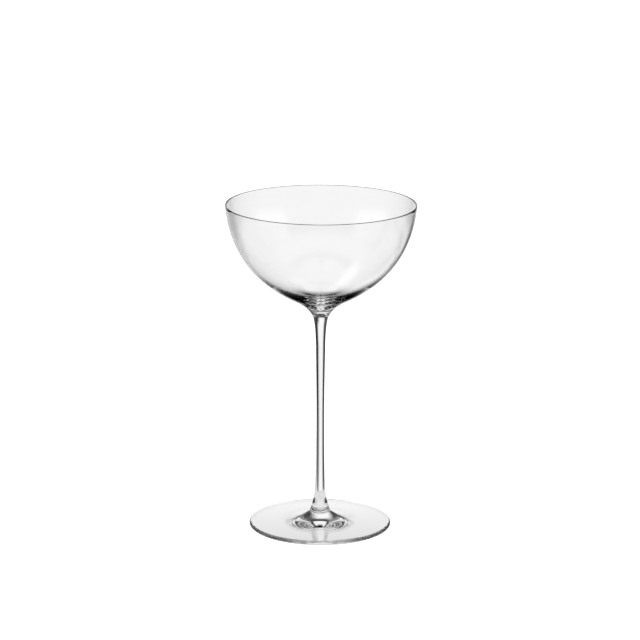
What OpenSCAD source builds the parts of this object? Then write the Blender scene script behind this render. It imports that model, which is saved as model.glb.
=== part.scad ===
/* [Bowl] */
// Outside diameter of the bowl across the rim
rim_d = 96; // [86:1:106]
// Height of the bowl, from its joint with the stem up to the rim
bowl_h = 57.6; // [52:0.2:66]
// Lean of the wall at the rim, in degrees from upright
rim_lean = 4.4; // [2:0.2:16]
// Outside diameter at the shoulder, where the round of the bowl turns upwards
shoulder_d = 79.2; // [74:0.2:84]
// Height of the shoulder above the joint
shoulder_h = 30.8; // [28:0.2:34]
// Lean of the wall at the shoulder, in degrees from upright
shoulder_lean = 32; // [26:0.5:38]
// Outside diameter of the open cone under the bowl, where the wall leans out most
cone_d = 30.9; // [27:0.1:34]
// Height of that place above the joint
cone_h = 9.5; // [8.5:0.5:11]
// Lean of the wall there, in degrees from upright
cone_lean = 62.6; // [56:0.2:66]
// Thickness of the wall at the rim, which is also the diameter of its melted edge
rim_wall = 0.7; // [0.6:0.05:1.4]
// Thickness of the wall at the shoulder
shoulder_wall = 1; // [0.8:0.05:1.8]
// Thickness of the wall at the cone
cone_wall = 2.3; // [1.4:0.1:2.6]
// Lean of the inner face of the wall at the rim, in degrees from upright
rim_inside_lean = 5; // [2:0.2:17]
// Lean of the inner face of the wall at the shoulder, in degrees from upright
shoulder_inside_lean = 32.6; // [27:0.2:40]
// Lean of the inner face of the wall at the cone, in degrees from upright
cone_inside_lean = 70; // [63:0.2:74]
// Solid glass between the joint and the lowest place inside the bowl
base_h = 5.9; // [4.8:0.1:7]

/* [Stem] */
// Length of the stem between its two joints
stem_l = 102.4; // [80:0.2:120]
// Diameter at the joint with the bowl
top_joint_d = 8; // [7:0.1:9.4]
// Lean of the surface at that joint, in degrees from upright
top_joint_lean = 25; // [20:1:30]
// Length of the upper taper, from the joint down to the even part of the stem
upper_taper_l = 15.4; // [13:0.2:22]
// Diameter of the stem just under the upper taper
upper_stem_d = 4.7; // [4:0.1:5.2]
// Lean of the surface there, in degrees from upright
upper_stem_lean = 0.6; // [0:0.1:1.2]
// Diameter of the stem at its thinnest
stem_d = 3.88; // [3.2:0.02:4.4]
// Height of the thinnest place above the joint with the foot
thinnest_h = 50; // [30:1:60]
// Length of the lower taper, from the joint with the foot up to the even part
lower_taper_l = 12; // [10:0.5:18]
// Diameter of the stem just above the lower taper
lower_stem_d = 5.2; // [4:0.02:5.6]
// Lean of the surface there, in degrees from upright
lower_stem_lean = 3; // [1:0.2:6]
// Diameter at the joint with the foot
foot_joint_d = 10.8; // [9:0.1:13]
// Lean of the surface at that joint, in degrees from upright
foot_joint_lean = 47; // [30:1:52]

/* [Foot] */
// Outside diameter of the foot
foot_d = 72; // [62:0.5:80]
// Height of the joint with the stem above the table
foot_h = 7; // [6:0.5:8.5]
// Thickness of the foot at its edge, which is also the diameter of its rounding
edge_t = 2.2; // [1.6:0.1:2.6]
// Diameter of the circle where the dome in the middle runs out into the flat part
dome_d = 38.4; // [30:0.2:48]
// Height of the upper face at that circle
dome_h = 2.3; // [2.1:0.1:3.4]
// Slope of the upper face at that circle, in degrees from level
dome_slope = 1.4; // [0.6:0.2:5]
// Slope of the upper face at the edge, in degrees from level
edge_slope = 0.3; // [0:0.1:2]
// Width of the flat ring that the glass stands on
rest_w = 1.6; // [1:0.1:3]
// Rise of the underside from that ring to the middle
hollow_h = 0.1; // [0.1:0.1:0.8]

/* [Hidden] */

// Heights of the two joints and of the rim above the table
stem_z = foot_h;
bowl_z = foot_h + stem_l;
rim_z = bowl_z + bowl_h;

// How far a curve keeps the direction of its two ends, as shares of its chord
rim_shares = [0.21, 0.46];
shoulder_shares = [0.42, 0.28];
cone_shares = [0.32, 0.41];
well_shares = [0.01, 0.31];
inside_shares = [0.31, 0.38];
upper_taper_shares = [0.27, 0.19];
upper_stem_shares = [0.39, 0.36];
lower_stem_shares = [0.27, 0.14];
lower_taper_shares = [0.01, 0.49];
dome_shares = [0.1, 0.5];
skirt_shares = [0.3, 0.3];
hollow_shares = [0.4, 0.4];

// Points on each curve, and the roundness of each turned surface
curve_steps = 24;
edge_steps = 12;
$fn = 180;

// Colour of the clear glass
glass_colour = [0.9, 0.93, 0.94, 0.4];

// Direction in the outline, [radius, height], that leans outwards from upright
function leaning(lean) = [sin(lean), cos(lean)];

// Direction square to the wall, from the inside to the outside
function outward(lean) = [cos(lean), -sin(lean)];

// One smooth curve of the outline, without its last point
function curve(from, from_lean, to, to_lean, shares) =
    let(
        chord = norm(to - from),
        leave = from + shares[0] * chord * leaning(from_lean),
        arrive = to - shares[1] * chord * leaning(to_lean)
    )
    [for (step = [0:curve_steps - 1])
        let(t = step / curve_steps, u = 1 - t)
        u * u * u * from + 3 * u * u * t * leave + 3 * u * t * t * arrive + t * t * t * to];

// A round edge of glass, from its first angle to its last one
function round_edge(centre, radius, first, last) =
    [for (step = [0:edge_steps])
        let(angle = first + (last - first) * step / edge_steps)
        centre + radius * [cos(angle), sin(angle)]];

// The blown bowl, with the solid glass at its base that the stem is drawn down from
module bowl() {
    joint = [top_joint_d / 2, bowl_z];
    cone = [cone_d / 2, bowl_z + cone_h];
    shoulder = [shoulder_d / 2, bowl_z + shoulder_h];
    rim_centre = [rim_d / 2 - rim_wall / 2, rim_z - rim_wall / 2];
    rim_outside = rim_centre + rim_wall / 2 * outward(rim_lean);
    rim_inside = rim_centre - rim_wall / 2 * outward(rim_inside_lean);
    shoulder_inside = shoulder - shoulder_wall * outward(shoulder_lean);
    cone_inside = cone - cone_wall * outward(cone_lean);
    bottom_inside = [0, bowl_z + base_h];
    color(glass_colour)
    rotate_extrude()
    polygon(concat(
        [[0, bowl_z]],
        curve(joint, top_joint_lean, cone, cone_lean, cone_shares),
        curve(cone, cone_lean, shoulder, shoulder_lean, shoulder_shares),
        curve(shoulder, shoulder_lean, rim_outside, rim_lean, rim_shares),
        round_edge(rim_centre, rim_wall / 2, -rim_lean, 180 - rim_inside_lean),
        reversed(concat(
            curve(bottom_inside, 90, cone_inside, cone_inside_lean, well_shares),
            curve(cone_inside, cone_inside_lean, shoulder_inside, shoulder_inside_lean, inside_shares),
            curve(shoulder_inside, shoulder_inside_lean, rim_inside, rim_inside_lean, rim_shares)
        ))
    ));
}

// The drawn stem, solid glass from one joint to the other
module stem() {
    foot_joint = [foot_joint_d / 2, stem_z];
    lower = [lower_stem_d / 2, stem_z + lower_taper_l];
    thinnest = [stem_d / 2, stem_z + thinnest_h];
    upper = [upper_stem_d / 2, bowl_z - upper_taper_l];
    top_joint = [top_joint_d / 2, bowl_z];
    color(glass_colour)
    rotate_extrude()
    polygon(concat(
        [[0, stem_z]],
        curve(foot_joint, -foot_joint_lean, lower, -lower_stem_lean, lower_taper_shares),
        curve(lower, -lower_stem_lean, thinnest, 0, lower_stem_shares),
        curve(thinnest, 0, upper, upper_stem_lean, upper_stem_shares),
        curve(upper, upper_stem_lean, top_joint, top_joint_lean, upper_taper_shares),
        [top_joint, [0, bowl_z]]
    ));
}

// The spun foot, with its low dome and its slightly hollow underside
module foot() {
    foot_r = foot_d / 2;
    edge_centre = [foot_r - edge_t / 2, edge_t / 2];
    edge_top = edge_centre - edge_t / 2 * outward(90 + edge_slope);
    joint = [foot_joint_d / 2, stem_z];
    dome = [dome_d / 2, dome_h];
    ring_outside = [edge_centre[0], 0];
    ring_inside = ring_outside - [rest_w, 0];
    color(glass_colour)
    rotate_extrude()
    polygon(concat(
        [[0, hollow_h]],
        curve([0, hollow_h], 90, ring_inside, 90, hollow_shares),
        [ring_inside],
        round_edge(edge_centre, edge_t / 2, -90, 90 - edge_slope),
        reversed(concat(
            curve(joint, 180 - foot_joint_lean, dome, 90 + dome_slope, dome_shares),
            curve(dome, 90 + dome_slope, edge_top, 90 + edge_slope, skirt_shares)
        )),
        [[0, stem_z]]
    ));
}

// A list of points in the opposite order
function reversed(points) = [for (i = [len(points) - 1:-1:0]) points[i]];

bowl();
stem();
foot();
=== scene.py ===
from math import cos, radians, sin, tau

import bmesh
import bpy
from mathutils import Euler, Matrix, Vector


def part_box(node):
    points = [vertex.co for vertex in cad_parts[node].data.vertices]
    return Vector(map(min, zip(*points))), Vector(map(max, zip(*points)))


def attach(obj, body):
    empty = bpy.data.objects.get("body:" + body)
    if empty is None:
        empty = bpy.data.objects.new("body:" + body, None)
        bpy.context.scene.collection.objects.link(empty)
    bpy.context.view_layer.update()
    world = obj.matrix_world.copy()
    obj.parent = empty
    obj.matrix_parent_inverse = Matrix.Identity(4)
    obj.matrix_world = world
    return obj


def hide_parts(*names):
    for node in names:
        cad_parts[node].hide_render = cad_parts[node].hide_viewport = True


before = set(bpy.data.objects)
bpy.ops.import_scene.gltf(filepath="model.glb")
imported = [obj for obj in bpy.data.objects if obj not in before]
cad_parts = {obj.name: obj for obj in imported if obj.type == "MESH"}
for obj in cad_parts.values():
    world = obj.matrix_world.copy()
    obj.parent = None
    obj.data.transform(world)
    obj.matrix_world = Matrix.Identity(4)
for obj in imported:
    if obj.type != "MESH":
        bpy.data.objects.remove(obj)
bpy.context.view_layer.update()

MM = 0.001

# Every size below is in metres, and every lean and slope is in degrees. A pair of shares says how far a
# curve keeps the direction of its two ends, as parts of its chord.

# Bowl
RIM_D = 96 * MM
BOWL_H = 57.6 * MM
RIM_LEAN = 4.4
SHOULDER_D = 79.2 * MM
SHOULDER_H = 30.8 * MM
SHOULDER_LEAN = 32
CONE_D = 30.9 * MM
CONE_H = 9.5 * MM
CONE_LEAN = 62.6
RIM_WALL = 0.7 * MM
SHOULDER_WALL = 1 * MM
CONE_WALL = 2.3 * MM
RIM_INSIDE_LEAN = 5
SHOULDER_INSIDE_LEAN = 32.6
CONE_INSIDE_LEAN = 70
BASE_H = 5.9 * MM
RIM_SHARES = (0.21, 0.46)
SHOULDER_SHARES = (0.42, 0.28)
CONE_SHARES = (0.32, 0.41)
WELL_SHARES = (0.01, 0.31)
INSIDE_SHARES = (0.31, 0.38)

# Stem
TOP_JOINT_D = 8 * MM
TOP_JOINT_LEAN = 25
UPPER_TAPER_L = 15.4 * MM
UPPER_STEM_D = 4.7 * MM
UPPER_STEM_LEAN = 0.6
STEM_D = 3.88 * MM
THINNEST_H = 50 * MM
LOWER_TAPER_L = 12 * MM
LOWER_STEM_D = 5.2 * MM
LOWER_STEM_LEAN = 3
FOOT_JOINT_D = 10.8 * MM
FOOT_JOINT_LEAN = 47
UPPER_TAPER_SHARES = (0.27, 0.19)
UPPER_STEM_SHARES = (0.39, 0.36)
LOWER_STEM_SHARES = (0.27, 0.14)
LOWER_TAPER_SHARES = (0.01, 0.49)

# Foot
FOOT_D = 72 * MM
EDGE_T = 2.2 * MM
DOME_D = 38.4 * MM
DOME_H = 2.3 * MM
DOME_SLOPE = 1.4
EDGE_SLOPE = 0.3
REST_W = 1.6 * MM
HOLLOW_H = 0.1 * MM
DOME_SHARES = (0.1, 0.5)
SKIRT_SHARES = (0.3, 0.3)
HOLLOW_SHARES = (0.4, 0.4)

# The joints and the rim, where the frame has them
STEM_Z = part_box("stem")[0].z
BOWL_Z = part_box("bowl")[0].z
RIM_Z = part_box("bowl")[1].z

# How finely the outlines and the turned surfaces are divided
CURVE_STEPS = 30
EDGE_STEPS = 14
TURN_STEPS = 256

# Points nearer than this are one point, and a face within this of a joint's height is the joint's
MERGE_GAP = 0.0001 * MM
JOINT_GAP = 0.001 * MM

# Glass: how strongly it bends light, and the slow waves that blowing leaves in its surface
GLASS_IOR = 1.52
WAVE_L = 24 * MM
WAVE_H = 0.01 * MM
WAVE_DETAIL = 1.0
WAVE_ROUGHNESS = 0.4

# Camera: its lens in the photograph's pixels, its place, and its tilt and roll in degrees
PHOTO_SIDE = 640
LENS_PX = 3122
SENSOR = 36
CAMERA_BACK = 1.523
CAMERA_UP = 0.493
CAMERA_PITCH = 14.208
CAMERA_ROLL = 0.235
CAMERA_ASIDE = -0.00034
CAMERA_REACH = 100

# Studio: sizes in metres, the lamp in watts and the rest as strengths where 1 is white
FLOOR_SIDE = 24
SOFTBOX_SIDE = 2.4
SOFTBOX_UP = 2.6
SOFTBOX_POWER = 30
SKY_LIGHT = 0.9
FLOOR_GLOW = 0.3
# The glow under the foot, seen only in the glass, is painted light of the table, with painted shade that
# makes it darker at the front than at the back
UNDER_FOOT_FRONT = 0.74
UNDER_FOOT_BACK = 0.96
UNDER_FOOT_GAP = 0.05 * MM

# How many surfaces light may cross, which the solid glass under the bowl needs
LIGHT_BOUNCES = 32

# The tent round the glass: a sphere of dark cloth, with its number of parts around and from top to bottom,
# and panels of light on it. Each panel has the degrees that it spans left to right and low to high, from
# the way that the camera looks, its soft margins at the sides and at the top and bottom, and its brightness.
TENT_R = 12
TENT_PARTS = (48, 32)
TENT_DARK = 0.0
TENT_PANELS = (
    (-94, 50, 55, 69, 18, 10, 1.0),
    (79, 300, -65, -40, 18, 17, 1.0),
    (-300, -79, -65, -40, 18, 17, 1.0),
    (87, 134, 8, 34, 18, 13, 1.0),
    (-134, -87, 8, 34, 18, 13, 1.0),
    (-87, -23, -83, -14, 27, 10, 0.9),
    (21, 84, -90, -9, 18, 10, 0.96),
    (-180, 180, -90, -68, 18, 10, 1.0),
    (-52, 85, -18, -15, 18, 10, 0.33),
    (-17, 22, -2, 10, 18, 10, 1.0),
    (-24, 12, -14, 34, 21, 10, 1.0),
)


def linear(hex_colour):
    """A colour written as sRGB hex, turned to the linear values that the shaders take."""
    values = [int(hex_colour[i:i + 2], 16) / 255 for i in (1, 3, 5)]
    return [v / 12.92 if v <= 0.04045 else ((v + 0.055) / 1.055) ** 2.4 for v in values] + [1]


# Outlines: lists of (radius, height)

def leaning(lean):
    """The direction in the outline that leans outwards from upright."""
    return Vector((sin(radians(lean)), cos(radians(lean))))


def outward(lean):
    """The direction square to the wall, from the inside to the outside."""
    return Vector((cos(radians(lean)), -sin(radians(lean))))


def curve(start, start_lean, end, end_lean, shares):
    """One smooth curve of the outline, without its last point."""
    start, end = Vector(start), Vector(end)
    chord = (end - start).length
    leave = start + shares[0] * chord * leaning(start_lean)
    arrive = end - shares[1] * chord * leaning(end_lean)
    points = []
    for step in range(CURVE_STEPS):
        t = step / CURVE_STEPS
        u = 1 - t
        points.append(u ** 3 * start + 3 * u * u * t * leave + 3 * u * t * t * arrive + t ** 3 * end)
    return points


def round_edge(centre, radius, first, last):
    """A round edge of glass, from its first angle to its last one."""
    angles = [radians(first + (last - first) * step / EDGE_STEPS) for step in range(EDGE_STEPS + 1)]
    return [centre + radius * Vector((cos(angle), sin(angle))) for angle in angles]


def bowl_outline():
    """From the axis at the joint, up the outside, over the rim and down the inside to the axis."""
    joint = (TOP_JOINT_D / 2, BOWL_Z)
    cone = Vector((CONE_D / 2, BOWL_Z + CONE_H))
    shoulder = Vector((SHOULDER_D / 2, BOWL_Z + SHOULDER_H))
    rim = Vector((RIM_D / 2 - RIM_WALL / 2, RIM_Z - RIM_WALL / 2))
    rim_outside = rim + RIM_WALL / 2 * outward(RIM_LEAN)
    rim_inside = rim - RIM_WALL / 2 * outward(RIM_INSIDE_LEAN)
    shoulder_inside = shoulder - SHOULDER_WALL * outward(SHOULDER_LEAN)
    cone_inside = cone - CONE_WALL * outward(CONE_LEAN)
    bottom_inside = (0, BOWL_Z + BASE_H)
    inside = (
        curve(bottom_inside, 90, cone_inside, CONE_INSIDE_LEAN, WELL_SHARES)
        + curve(cone_inside, CONE_INSIDE_LEAN, shoulder_inside, SHOULDER_INSIDE_LEAN, INSIDE_SHARES)
        + curve(shoulder_inside, SHOULDER_INSIDE_LEAN, rim_inside, RIM_INSIDE_LEAN, RIM_SHARES)
    )
    return (
        [Vector((0, BOWL_Z))]
        + curve(joint, TOP_JOINT_LEAN, cone, CONE_LEAN, CONE_SHARES)
        + curve(cone, CONE_LEAN, shoulder, SHOULDER_LEAN, SHOULDER_SHARES)
        + curve(shoulder, SHOULDER_LEAN, rim_outside, RIM_LEAN, RIM_SHARES)
        + round_edge(rim, RIM_WALL / 2, -RIM_LEAN, 180 - RIM_INSIDE_LEAN)
        + inside[::-1]
    )


def stem_outline():
    """From the axis at the foot, up the outside, to the axis under the bowl."""
    foot_joint = (FOOT_JOINT_D / 2, STEM_Z)
    lower = (LOWER_STEM_D / 2, STEM_Z + LOWER_TAPER_L)
    thinnest = (STEM_D / 2, STEM_Z + THINNEST_H)
    upper = (UPPER_STEM_D / 2, BOWL_Z - UPPER_TAPER_L)
    top_joint = (TOP_JOINT_D / 2, BOWL_Z)
    return (
        [Vector((0, STEM_Z))]
        + curve(foot_joint, -FOOT_JOINT_LEAN, lower, -LOWER_STEM_LEAN, LOWER_TAPER_SHARES)
        + curve(lower, -LOWER_STEM_LEAN, thinnest, 0, LOWER_STEM_SHARES)
        + curve(thinnest, 0, upper, UPPER_STEM_LEAN, UPPER_STEM_SHARES)
        + curve(upper, UPPER_STEM_LEAN, top_joint, TOP_JOINT_LEAN, UPPER_TAPER_SHARES)
        + [Vector(top_joint), Vector((0, BOWL_Z))]
    )


def foot_outline():
    """From the axis under the foot, along the underside, round the edge and up to the joint."""
    edge = Vector((FOOT_D / 2 - EDGE_T / 2, EDGE_T / 2))
    edge_top = edge - EDGE_T / 2 * outward(90 + EDGE_SLOPE)
    joint = (FOOT_JOINT_D / 2, STEM_Z)
    dome = (DOME_D / 2, DOME_H)
    ring_inside = Vector((edge.x - REST_W, 0))
    upper = (
        curve(joint, 180 - FOOT_JOINT_LEAN, dome, 90 + DOME_SLOPE, DOME_SHARES)
        + curve(dome, 90 + DOME_SLOPE, edge_top, 90 + EDGE_SLOPE, SKIRT_SHARES)
    )
    return (
        curve((0, HOLLOW_H), 90, ring_inside, 90, HOLLOW_SHARES)
        + [ring_inside]
        + round_edge(edge, EDGE_T / 2, -90, 90 - EDGE_SLOPE)
        + upper[::-1]
        + [Vector((0, STEM_Z))]
    )


# Materials

def new_material(name):
    """A material with an empty node tree."""
    material = bpy.data.materials.new(name)
    material.use_nodes = True
    material.node_tree.nodes.clear()
    return material


def add(tree, kind, settings=None, inputs=None):
    """Adds a node, with its settings, and with its inputs set to values or linked to outputs."""
    node = tree.nodes.new(kind)
    for name, value in (settings or {}).items():
        setattr(node, name, value)
    for name, value in (inputs or {}).items():
        if isinstance(value, bpy.types.NodeSocket):
            tree.links.new(value, node.inputs[name])
        else:
            node.inputs[name].default_value = value
    return node


def clear_crystal():
    """Lead-free crystal, blown and fire-polished: colourless and mirror-smooth, with very slow waves.

    The light that falls on the table goes straight through it, and loses a little on the way.
    """
    material = new_material("clear_crystal")
    tree = material.node_tree
    place = add(tree, "ShaderNodeTexCoord")
    swell = add(tree, "ShaderNodeTexNoise", {"noise_dimensions": "3D"}, {
        "Vector": place.outputs["Object"], "Scale": 1 / WAVE_L,
        "Detail": WAVE_DETAIL, "Roughness": WAVE_ROUGHNESS})
    wave = add(tree, "ShaderNodeBump", {}, {
        "Strength": 1.0, "Distance": WAVE_H, "Height": swell.outputs["Fac"]})
    glass = add(tree, "ShaderNodeBsdfPrincipled", {}, {
        "Base Color": linear("#ffffff"), "Roughness": 0.0, "IOR": GLASS_IOR,
        "Transmission Weight": 1.0, "Normal": wave.outputs["Normal"]})
    lamp_light = add(tree, "ShaderNodeBsdfTransparent", {}, {"Color": linear("#f7f7f7")})
    path = add(tree, "ShaderNodeLightPath")
    light_passes = add(tree, "ShaderNodeMath", {"operation": "MAXIMUM"}, {
        0: path.outputs["Is Shadow Ray"], 1: path.outputs["Is Diffuse Ray"]})
    surface = add(tree, "ShaderNodeMixShader", {}, {
        "Fac": light_passes.outputs[0], 1: glass.outputs["BSDF"], 2: lamp_light.outputs["BSDF"]})
    add(tree, "ShaderNodeOutputMaterial", {}, {"Surface": surface.outputs["Shader"]})
    return material


def fused_glass():
    """The hot joint: two gathers melted into one, so light crosses it as if it weren't there."""
    material = new_material("fused_glass")
    tree = material.node_tree
    through = add(tree, "ShaderNodeBsdfTransparent", {}, {"Color": linear("#ffffff")})
    add(tree, "ShaderNodeOutputMaterial", {}, {"Surface": through.outputs["BSDF"]})
    return material


# Pieces

def turned(name, node, outline, joints, materials):
    """Turns an outline about the upright axis into a closed piece, which stands for a node.

    The flat faces at the heights of its joints get the second material and sharp edges.
    """
    shape = bmesh.new()
    ring = [shape.verts.new((radius, 0, height)) for radius, height in outline]
    for lower, upper in zip(ring, ring[1:]):
        shape.edges.new((lower, upper))
    bmesh.ops.spin(
        shape, geom=shape.verts[:] + shape.edges[:], cent=(0, 0, 0), axis=(0, 0, 1),
        dvec=(0, 0, 0), angle=tau, steps=TURN_STEPS, use_merge=True, use_duplicate=False)
    bmesh.ops.remove_doubles(shape, verts=shape.verts, dist=MERGE_GAP)
    bmesh.ops.recalc_face_normals(shape, faces=shape.faces)
    for face in shape.faces:
        face.smooth = True
        if any(all(abs(v.co.z - z) < JOINT_GAP for v in face.verts) for z in joints):
            face.material_index = 1
    for edge in shape.edges:
        sides = [face.material_index for face in edge.link_faces]
        edge.smooth = min(sides) == max(sides)
    mesh = bpy.data.meshes.new(name)
    shape.to_mesh(mesh)
    shape.free()
    piece = bpy.data.objects.new(name, mesh)
    bpy.context.scene.collection.objects.link(piece)
    for material in materials:
        mesh.materials.append(material)
    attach(piece, "root")
    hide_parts(node)


# Studio

def studio_camera():
    """The photograph's camera: a long lens in front of the glass, looking slightly down on it."""
    data = bpy.data.cameras.new("camera")
    data.sensor_width = SENSOR
    data.lens = LENS_PX / PHOTO_SIDE * SENSOR
    data.clip_end = CAMERA_REACH
    camera = bpy.data.objects.new("camera", data)
    camera.location = (CAMERA_ASIDE, -CAMERA_BACK, CAMERA_UP)
    turn = Euler((radians(90 - CAMERA_PITCH), 0, 0)).to_matrix()
    roll = Euler((0, 0, radians(CAMERA_ROLL))).to_matrix()
    camera.rotation_euler = (turn @ roll).to_euler()
    bpy.context.scene.collection.objects.link(camera)
    bpy.context.scene.camera = camera
    return camera


def flat_sheet(name, corners, material):
    """A flat four-cornered sheet of the studio, which isn't part of the glass."""
    mesh = bpy.data.meshes.new(name)
    mesh.from_pydata(corners, [], [(0, 1, 2, 3)])
    mesh.materials.append(material)
    sheet = bpy.data.objects.new(name, mesh)
    bpy.context.scene.collection.objects.link(sheet)
    return sheet


def floor():
    """The white table. It takes the shadow, and isn't seen in the glass, which shows the tent instead."""
    material = new_material("white_table")
    tree = material.node_tree
    path = add(tree, "ShaderNodeLightPath")
    matt = add(tree, "ShaderNodeBsdfDiffuse", {}, {"Color": linear("#e7e7e7")})
    glow = add(tree, "ShaderNodeEmission", {}, {
        "Color": linear("#ffffff"), "Strength": FLOOR_GLOW})
    unlit = add(tree, "ShaderNodeEmission", {}, {"Strength": 0.0})
    seen = add(tree, "ShaderNodeMixShader", {}, {
        "Fac": path.outputs["Is Camera Ray"], 1: unlit.outputs[0], 2: glow.outputs[0]})
    both = add(tree, "ShaderNodeAddShader", {}, {0: matt.outputs[0], 1: seen.outputs[0]})
    add(tree, "ShaderNodeOutputMaterial", {}, {"Surface": both.outputs[0]})
    half = FLOOR_SIDE / 2
    corners = [(-half, -half, 0), (half, -half, 0), (half, half, 0), (-half, half, 0)]
    table = flat_sheet("table", corners, material)
    table.visible_glossy = False
    table.visible_transmission = False


def painted_light_under_foot():
    """Painted light of the table under the foot, seen only in the glass, with painted shade at the front."""
    material = new_material("painted_light_under_foot")
    tree = material.node_tree
    place = add(tree, "ShaderNodeTexCoord")
    split = add(tree, "ShaderNodeSeparateXYZ", {}, {"Vector": place.outputs["Object"]})
    # Painted shade: the glow darkens from the back of the foot towards the front
    paler = add(tree, "ShaderNodeMapRange", {}, {
        "Value": split.outputs["Y"], "From Min": -FOOT_D / 2, "From Max": FOOT_D / 2,
        "To Min": UNDER_FOOT_FRONT, "To Max": UNDER_FOOT_BACK})
    glow = add(tree, "ShaderNodeEmission", {}, {
        "Color": linear("#ffffff"), "Strength": paler.outputs["Result"]})
    add(tree, "ShaderNodeOutputMaterial", {}, {"Surface": glow.outputs[0]})
    shape = bmesh.new()
    bmesh.ops.create_circle(shape, cap_ends=True, radius=FOOT_D / 2, segments=TURN_STEPS)
    bmesh.ops.translate(shape, verts=shape.verts, vec=(0, 0, -UNDER_FOOT_GAP))
    mesh = bpy.data.meshes.new("painted_light_under_foot")
    shape.to_mesh(mesh)
    shape.free()
    mesh.materials.append(material)
    disc = bpy.data.objects.new("painted_light_under_foot", mesh)
    bpy.context.scene.collection.objects.link(disc)
    disc.visible_camera = False
    disc.visible_diffuse = False
    disc.visible_shadow = False


def tent(camera):
    """Dark cloth all round the glass, with panels of light on it. It is carried by the camera."""
    material = new_material("tent_cloth")
    tree = material.node_tree
    place = add(tree, "ShaderNodeTexCoord")
    split = add(tree, "ShaderNodeSeparateXYZ", {}, {"Vector": place.outputs["Object"]})
    ahead = add(tree, "ShaderNodeMath", {"operation": "MULTIPLY"}, {0: split.outputs["Z"], 1: -1.0})
    turn = add(tree, "ShaderNodeMath", {"operation": "ARCTAN2"}, {
        0: split.outputs["X"], 1: ahead.outputs[0]})
    share_up = add(tree, "ShaderNodeMath", {"operation": "DIVIDE"}, {0: split.outputs["Y"], 1: TENT_R})
    rise = add(tree, "ShaderNodeMath", {"operation": "ARCSINE"}, {0: share_up.outputs[0]})
    shade = TENT_DARK
    for left, right, low, high, side_margin, level_margin, brightness in TENT_PANELS:
        spans = []
        for angle, first, last, margin in (
                (turn, left, right, side_margin), (rise, low, high, level_margin)):
            off = add(tree, "ShaderNodeMath", {"operation": "SUBTRACT"}, {
                0: angle.outputs[0], 1: radians(first + last) / 2})
            away = add(tree, "ShaderNodeMath", {"operation": "ABSOLUTE"}, {0: off.outputs[0]})
            spans.append(add(tree, "ShaderNodeMapRange", {"interpolation_type": "SMOOTHSTEP"}, {
                "Value": away.outputs[0], "From Min": radians(last - first + margin) / 2,
                "From Max": radians(last - first - margin) / 2}))
        inside = add(tree, "ShaderNodeMath", {"operation": "MULTIPLY"}, {
            0: spans[0].outputs["Result"], 1: spans[1].outputs["Result"]})
        shade = add(tree, "ShaderNodeMix", {"data_type": "FLOAT"}, {
            "Factor": inside.outputs[0], "A": shade, "B": brightness}).outputs["Result"]
    glow = add(tree, "ShaderNodeEmission", {}, {"Color": linear("#ffffff"), "Strength": shade})
    add(tree, "ShaderNodeOutputMaterial", {}, {"Surface": glow.outputs[0]})
    shape = bmesh.new()
    around, high = TENT_PARTS
    bmesh.ops.create_uvsphere(shape, u_segments=around, v_segments=high, radius=TENT_R)
    mesh = bpy.data.meshes.new("tent")
    shape.to_mesh(mesh)
    shape.free()
    mesh.materials.append(material)
    cloth = bpy.data.objects.new("tent", mesh)
    cloth.parent = camera
    cloth.location = (0, 0, -Vector((CAMERA_BACK, CAMERA_UP)).length)
    bpy.context.scene.collection.objects.link(cloth)
    cloth.visible_camera = False
    cloth.visible_diffuse = False
    cloth.visible_shadow = False


def sky():
    """The white behind the glass, and its even light on the table."""
    world = bpy.data.worlds.new("studio")
    bpy.context.scene.world = world
    world.use_nodes = True
    tree = world.node_tree
    tree.nodes.clear()
    path = add(tree, "ShaderNodeLightPath")
    behind = add(tree, "ShaderNodeBackground", {}, {"Color": linear("#ffffff"), "Strength": 1.0})
    light = add(tree, "ShaderNodeBackground", {}, {"Color": linear("#ffffff"), "Strength": SKY_LIGHT})
    seen = add(tree, "ShaderNodeMixShader", {}, {
        "Fac": path.outputs["Is Camera Ray"], 1: light.outputs[0], 2: behind.outputs[0]})
    add(tree, "ShaderNodeOutputWorld", {}, {"Surface": seen.outputs[0]})


def softbox():
    """A large soft light overhead, which gives the faint shadow under the foot."""
    data = bpy.data.lights.new("softbox", "AREA")
    data.size = SOFTBOX_SIDE
    data.energy = SOFTBOX_POWER
    lamp = bpy.data.objects.new("softbox", data)
    lamp.location = (0, 0, SOFTBOX_UP)
    lamp.visible_glossy = False
    lamp.visible_transmission = False
    bpy.context.scene.collection.objects.link(lamp)


bpy.context.scene.view_settings.view_transform = "Standard"
for limit in ("max_bounces", "glossy_bounces", "transmission_bounces", "transparent_max_bounces"):
    setattr(bpy.context.scene.cycles, limit, LIGHT_BOUNCES)
camera = studio_camera()
sky()
floor()
painted_light_under_foot()
tent(camera)
softbox()

glass_and_joint = [clear_crystal(), fused_glass()]
turned("blown_bowl", "bowl", bowl_outline(), [BOWL_Z], glass_and_joint)
turned("drawn_stem", "stem", stem_outline(), [STEM_Z, BOWL_Z], glass_and_joint)
turned("spun_foot", "foot", foot_outline(), [STEM_Z], glass_and_joint)
